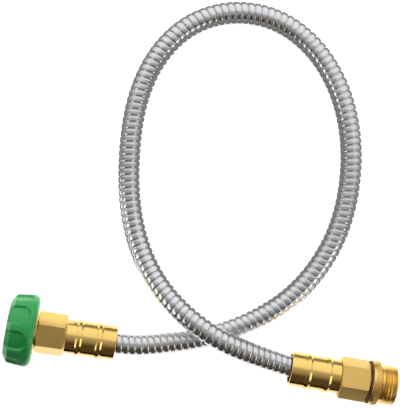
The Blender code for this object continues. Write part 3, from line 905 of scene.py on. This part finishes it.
class HOSE_OT_swivel_nut(bpy.types.Operator):
    """Makes the threaded nut in the grip and finishes its washer and split ring"""

    bl_idname = "hose_extension.swivel_nut"
    bl_label = "Swivel Nut"

    def execute(self, context):
        settings = context.scene.hose_extension.coupling
        male = context.scene.hose_extension.male_end
        angles = even_angles(144, settings.turn)
        nut = Turning(FEMALE, angles)
        hole = context.scene.hose_extension.bodies.nose_diameter / 2 + SEAT_GAP
        collar = settings.collar_diameter / 2
        bore = settings.thread_root / 2
        clear = settings.thread_bore / 2
        lip_end = NUT_START + settings.lip_thickness
        shoulder = settings.pocket_start + SEAT_GAP
        flats = hexagon(angles, settings.turn, settings.nut_across_flats)
        back_edge = 0.3 * MM
        mouth_edge = 0.4 * MM
        lead_in = 0.8 * MM
        run_in = 1.2 * MM
        pitch = male.thread_pitch
        nut.rings([(NUT_START, hole), (NUT_START, collar - back_edge), (NUT_START + back_edge, collar)])
        nut.rings([(shoulder, collar), (shoulder, flats), (NUT_END - mouth_edge, flats)])
        nut.ring(NUT_END, flats - mouth_edge)
        nut.ring(NUT_END, bore + 0.5 * lead_in)
        nut.thread(NUT_END - lead_in, WASHER_END, pitch, THREAD_SECTION, bore, clear - bore, run_in)
        nut.rings([(lip_end, bore), (lip_end, hole)])
        piece = new_piece(context, "threaded_nut", nut.mesh("threaded_nut"), "turned_brass")
        stands_for(piece, "swivel_nut", COUPLING_BODY)
        refinish(context, "hose_washer", "moulded_rubber")
        refinish(context, "retaining_clip", "spring_steel")
        return {"FINISHED"}


def scoop_drop(settings, angles, place):
    """How far the scoops' floor lies below the grip's side, at each angle and one place."""
    sector = 2 * math.pi / settings.ribs
    off = (angles - settings.turn) % sector - sector / 2
    aside = np.abs(off) * settings.grip_diameter / 2
    run = min(max((place - GRIP_END + settings.scoop_length) / settings.scoop_run_out, 0.0), 1.0)
    half = settings.scoop_width / 2 * math.sqrt(1 - (1 - run) ** 2)
    share = np.clip((half - aside) / settings.scoop_wall, 0, 1)
    return settings.scoop_depth * share**2 * (3 - 2 * share)


class HOSE_OT_grip(bpy.types.Operator):
    """Moulds the green grip with its scoops and its six-sided pocket"""

    bl_idname = "hose_extension.grip"
    bl_label = "Grip"

    def execute(self, context):
        settings = context.scene.hose_extension.coupling
        angles = even_angles(288, settings.turn)
        grip = Turning(FEMALE, angles)
        outer = settings.grip_diameter / 2
        hole = settings.collar_diameter / 2 + SEAT_GAP
        back = settings.back_round
        front_outer = outer - settings.grip_taper
        face = settings.mouth_face / 2
        back_edge = 0.3 * MM
        pocket_edge = 0.5 * MM
        bevel = settings.mouth_bevel
        rows = []
        for a in np.radians(np.linspace(0, 90, 9)):
            rows.append((GRIP_START + back * (1 - math.cos(a)), outer - back * (1 - math.sin(a))))
        side_start = GRIP_START + back
        side_end = GRIP_END - bevel
        side = side_end - side_start
        for place in np.linspace(side_start, side_end, 40)[1:-1]:
            rows.append((place, outer - settings.grip_taper * (place - side_start) / side))
        for share in (0, 0.04, 0.1, 0.2, 0.4, 0.6, 0.8, 0.93, 1):
            rows.append((side_end + bevel * share, front_outer + (face - front_outer) * share))
        grip.ring(GRIP_START + back_edge, hole)
        grip.ring(GRIP_START, hole + back_edge)
        for place, radius in rows:
            fade = min(1.0, (radius - face) / (front_outer - face))
            grip.ring(place, radius - fade * scoop_drop(settings, angles, place))
        pocket = hexagon(angles, settings.turn, settings.nut_across_flats + 2 * SEAT_GAP)
        grip.ring(GRIP_END, pocket + pocket_edge)
        grip.ring(GRIP_END - 0.3 * pocket_edge, pocket + 0.3 * pocket_edge)
        grip.ring(GRIP_END - pocket_edge, pocket)
        grip.ring(settings.pocket_start, pocket)
        grip.ring(settings.pocket_start, hole)
        piece = new_piece(context, "moulded_grip", grip.mesh("moulded_grip"), "moulded_green")
        stands_for(piece, "coupling_grip", COUPLING_BODY)
        return {"FINISHED"}


# Male end

class HOSE_OT_male_end(bpy.types.Operator):
    """Makes the threaded male end with its knurled flange, and the gasket behind it"""

    bl_idname = "hose_extension.male_end"
    bl_label = "Male End"

    def execute(self, context):
        settings = context.scene.hose_extension.male_end
        tooth = [0.0, 0.0, 0.0, 0.2, 1.0, 0.2]
        angles = even_angles(settings.knurl_teeth * len(tooth))
        tooth = np.tile(tooth, settings.knurl_teeth)
        end = Turning(MALE, angles)
        flange_start = GASKET_END + SEAT_GAP
        knurl_start = flange_start + settings.rim
        knurl_end = knurl_start + settings.knurl_length
        flange_end = knurl_end + settings.bevel
        thread_start = flange_end + settings.undercut_length
        rim_start = MALE_END - settings.end_rim
        flange = settings.flange_diameter / 2
        edge = 0.15 * MM
        mouth_edge = 0.3 * MM
        run_in = 1.5 * MM
        pitch = settings.thread_pitch
        spigot = settings.spigot_diameter / 2
        spigot_bore = settings.spigot_bore / 2
        root = settings.thread_root / 2
        crest = settings.thread_diameter / 2
        knurled = flange - settings.knurl_depth * tooth
        end.rings([(SPIGOT_START, spigot_bore), (SPIGOT_START, spigot), (flange_start, spigot)])
        end.rings([(flange_start, flange - edge), (flange_start + edge, flange)])
        end.rings([(knurl_start, flange), (knurl_start + edge, knurled)])
        end.rings([(knurl_end - edge, knurled), (knurl_end, flange - settings.knurl_depth)])
        end.rings([(flange_end, flange - settings.bevel_drop), (flange_end, root)])
        end.thread(thread_start, rim_start, pitch, THREAD_SECTION, root, crest - root, run_in)
        rim = crest - 0.3 * MM
        end.rings([(rim_start, rim - 0.2 * MM), (rim_start + 0.2 * MM, rim)])
        end.rings([(MALE_END - 0.4 * MM, rim), (MALE_END, rim - 0.5 * MM)])
        bore = settings.bore / 2
        step = MALE_END - settings.bore_depth
        end.rings([(MALE_END, bore + mouth_edge), (MALE_END - mouth_edge, bore)])
        end.rings([(step, bore), (step, spigot_bore)])
        piece = new_piece(context, "threaded_end", end.mesh("threaded_end"), "satin_turned_brass")
        stands_for(piece, "male_nipple", HOSE_BODY)

        outer = settings.gasket_diameter / 2
        inner = spigot + SEAT_GAP
        ease = (GASKET_END - GASKET_START) * 0.35
        profile = [
            (GASKET_START, inner, 0),
            (GASKET_START, outer, ease),
            (GASKET_END, outer, ease),
            (GASKET_END, inner, 0),
        ]
        gasket = turned_piece(context, "flange_gasket", MALE, profile, "reflection_tinted_rubber")
        stands_for(gasket, "nipple_gasket", HOSE_BODY)
        return {"FINISHED"}


# Stage

# Height over the floor of the sheets of painted shadow and shade
SHADE_SHEET_HEIGHT = 0.3 * MM

# How bright the cloth overhead is along Y, in metres: dim over the fittings, bright past the loop
CLOTH = [
    (-0.80, 0.08),
    (-0.60, 0.09),
    (-0.45, 0.11),
    (-0.31, 0.18),
    (-0.16, 0.32),
    (0.00, 0.42),
    (0.14, 0.50),
    (0.24, 0.62),
    (0.31, 0.98),
    (0.46, 1.15),
    (0.90, 1.25),
    (1.60, 1.30),
]


def level_ramp(tree, factor, levels):
    """A ramp through pairs of place and light level, the dim levels warmer."""
    first, last = levels[0][0], levels[-1][0]
    share = add_node(
        tree,
        "ShaderNodeMapRange",
        inputs={"From Min": first, "From Max": last, "To Min": 0.0, "To Max": 1.0},
        links={"Value": factor},
    )
    ramp = add_node(tree, "ShaderNodeValToRGB", links={"Fac": share.outputs["Result"]})
    stops = ramp.color_ramp.elements
    while len(stops) > 1:
        stops.remove(stops[-1])
    for k, (place, level) in enumerate(levels):
        position = (place - first) / (last - first)
        stop = stops[0] if k == 0 else stops.new(position)
        stop.position = position
        warmth = 0.7 + 0.3 * min(1.0, level / 0.4)
        stop.color = (level, level * warmth, level * warmth * warmth, 1)
    return ramp.outputs["Color"]


def lit_cloth(finish):
    """White nylon stretched in front of lamps, which glows where the lamps stand."""
    material, tree, shader = new_material("lit_cloth")
    place = add_node(tree, "ShaderNodeTexCoord")
    split = add_node(tree, "ShaderNodeSeparateXYZ", links={"Vector": place.outputs["Object"]})
    glow = level_ramp(tree, split.outputs["Y"], CLOTH)
    set_sockets(shader, {"Base Color": BLACK, "Specular IOR Level": 0.0, "Emission Strength": 1.0})
    tree.links.new(glow, shader.inputs["Emission Color"])
    return material


def shade_sheet_material(name, base):
    """Matt sheet for painted shadow and shade, with a faint nap and no gloss."""
    material, tree, shader = new_material(name)
    pile = stretched_noise(tree, (300, 300, 300))
    tree.links.new(
        colour_between(tree, pile, base, tuple(1.3 * c for c in base)), shader.inputs["Base Color"]
    )
    set_sockets(shader, {"Roughness": 1.0, "Specular IOR Level": 0.0})
    return material


def painted_shadow_sheet(finish):
    """Black sheet seen only in reflections: a painted shadow of the table on the near side."""
    return shade_sheet_material("painted_shadow_sheet", finish.painted_shadow)


def floor_shade_sheet(finish):
    """Grey sheet seen only in reflections: painted shade of the floor beside the hose."""
    return shade_sheet_material("floor_shade_sheet", finish.painted_floor_shade)


def highlight_glow(finish):
    """Evenly bright glow seen only in reflections: it paints highlights on the metal and lights nothing
    else.
    """
    material, tree, shader = new_material("highlight_glow")
    grain = stretched_noise(tree, (40, 40, 40))
    glow = colour_between(tree, grain, (1.0, 0.97, 0.92), (1.0, 1.0, 0.98))
    set_sockets(shader, {"Base Color": BLACK, "Specular IOR Level": 0.0, "Emission Strength": 1.9})
    tree.links.new(glow, shader.inputs["Emission Color"])
    return material


FINISHES = {
    make.__name__: make
    for make in (
        turned_brass,
        satin_turned_brass,
        drawn_brass,
        satin_drawn_brass,
        stainless_strip,
        spring_steel,
        moulded_green,
        moulded_rubber,
        reflection_tinted_rubber,
        matt_white,
        lit_cloth,
        highlight_glow,
        painted_shadow_sheet,
        floor_shade_sheet,
    )
}


def studio_world(world):
    """A room that is dim on the fittings' side and bright past the loop."""
    world.use_nodes = True
    tree = world.node_tree
    tree.nodes.clear()
    place = add_node(tree, "ShaderNodeTexCoord")
    split = add_node(tree, "ShaderNodeSeparateXYZ", links={"Vector": place.outputs["Generated"]})
    levels = [(-1, 0.08), (-0.3, 0.12), (0.0, 0.35), (0.3, 0.80), (0.85, 1.30)]
    room = level_ramp(tree, split.outputs["Y"], levels)
    background = add_node(tree, "ShaderNodeBackground", {}, {"Strength": 1.0}, {"Color": room})
    output = add_node(tree, "ShaderNodeOutputWorld")
    tree.links.new(background.outputs["Background"], output.inputs["Surface"])


def stage_sheet(context, name, finish, corners):
    """A flat sheet of the stage with four corners."""
    mesh = bpy.data.meshes.new(name)
    mesh.from_pydata(corners, [], [(0, 1, 2, 3)])
    sheet = new_piece(context, name, mesh, finish)
    return sheet


def level_corners(low, high, height):
    """Corners of a level sheet between two points of the ground plan."""
    return [
        (low[0], low[1], height),
        (high[0], low[1], height),
        (high[0], high[1], height),
        (low[0], high[1], height),
    ]


def screen_corners(x):
    """Corners of an upright screen beside the fittings."""
    return [(x, -0.45, 0.12), (x, 0.01, 0.12), (x, 0.01, 0.42), (x, -0.45, 0.42)]


class HOSE_OT_stage(bpy.types.Operator):
    """Sets the camera straight above, the pale floor and the soft light"""

    bl_idname = "hose_extension.stage"
    bl_label = "Stage"

    def execute(self, context):
        settings = context.scene.hose_extension.stage
        data = bpy.data.cameras.new("camera")
        data.lens = settings.lens
        data.sensor_fit = "VERTICAL"
        data.sensor_height = settings.sensor
        camera = bpy.data.objects.new("camera", data)
        context.scene.collection.objects.link(camera)
        place = Matrix.Translation((settings.camera_x, settings.camera_y, settings.camera_height))
        camera.matrix_world = place @ Matrix.Rotation(settings.camera_turn, 4, "Z")
        context.scene.camera = camera

        half = settings.floor_size / 2
        floor = level_corners((-half, -half), (half, half), -0.2 * MM)
        stage_sheet(context, "floor", "matt_white", floor)
        low, high = (-0.9, CLOTH[0][0]), (0.9, CLOTH[-1][0])
        overhead = level_corners(low, high, settings.cloth_height)
        cloth = stage_sheet(context, "cloth", "lit_cloth", overhead)
        cloth.visible_camera = False

        # Sheets that show only in reflections: painted shadow and shade of the table, and glowing
        # screens for painted highlights
        painted_shadow = level_corners((-half, -half), (half, settings.painted_shadow_edge), SHADE_SHEET_HEIGHT)
        near_floor_shade = level_corners((-0.094, settings.floor_shade_edge), (half, 0.1), SHADE_SHEET_HEIGHT)
        far_floor_shade = level_corners((-half, 0.1), (half, half), SHADE_SHEET_HEIGHT)
        for name, finish, corners in (
            ("painted_shadow", "painted_shadow_sheet", painted_shadow),
            ("floor_shade_near", "floor_shade_sheet", near_floor_shade),
            ("floor_shade_far", "floor_shade_sheet", far_floor_shade),
            ("screen_left", "highlight_glow", screen_corners(-0.45)),
            ("screen_right", "highlight_glow", screen_corners(0.45)),
        ):
            sheet = stage_sheet(context, name, finish, corners)
            sheet.visible_camera = False
            sheet.visible_diffuse = False
            sheet.visible_shadow = False

        world = bpy.data.worlds.new("studio")
        context.scene.world = world
        studio_world(world)
        key = bpy.data.lights.new("key", "AREA")
        key.shape = "DISK"
        key.size = 0.6
        key.energy = 2.0
        light = bpy.data.objects.new("key", key)
        light.location = (-0.1, 0.75, 0.75)
        aim = Vector((0, 0.08, 0)) - light.location
        light.rotation_euler = aim.to_track_quat("-Z", "Y").to_euler()
        light.visible_glossy = False
        context.scene.collection.objects.link(light)
        context.scene.view_settings.view_transform = "Standard"
        return {"FINISHED"}


class HOSE_PT_extension(bpy.types.Panel):
    """Lists the pieces and their sizes"""

    bl_idname = "HOSE_PT_extension"
    bl_label = "Garden Hose Extension"
    bl_space_type = "VIEW_3D"
    bl_region_type = "UI"
    bl_category = "Hose"

    def draw(self, context):
        everything = context.scene.hose_extension
        for name in GROUPS:
            group = getattr(everything, name)
            column = self.layout.column(align=True)
            column.label(text=name.replace("_", " ").capitalize())
            for key in group.bl_rna.properties.keys():
                if key not in ("rna_type", "name"):
                    column.prop(group, key)
        for operator in OPERATORS:
            self.layout.operator(operator.bl_idname)


OPERATORS = [
    HOSE_OT_stage,
    HOSE_OT_armoured_hose,
    HOSE_OT_ferrules,
    HOSE_OT_tailpieces,
    HOSE_OT_swivel_nut,
    HOSE_OT_grip,
    HOSE_OT_male_end,
]
CLASSES = [*GROUPS.values(), HoseExtension, *OPERATORS, HOSE_PT_extension]


def register():
    for one in CLASSES:
        bpy.utils.register_class(one)
    bpy.types.Scene.hose_extension = PointerProperty(type=HoseExtension)


def unregister():
    del bpy.types.Scene.hose_extension
    for one in reversed(CLASSES):
        bpy.utils.unregister_class(one)


def main():
    register()
    bpy.ops.hose_extension.stage()
    bpy.ops.hose_extension.armoured_hose()
    bpy.ops.hose_extension.ferrules()
    bpy.ops.hose_extension.tailpieces()
    bpy.ops.hose_extension.swivel_nut()
    bpy.ops.hose_extension.grip()
    bpy.ops.hose_extension.male_end()


if __name__ == "__main__":
    main()
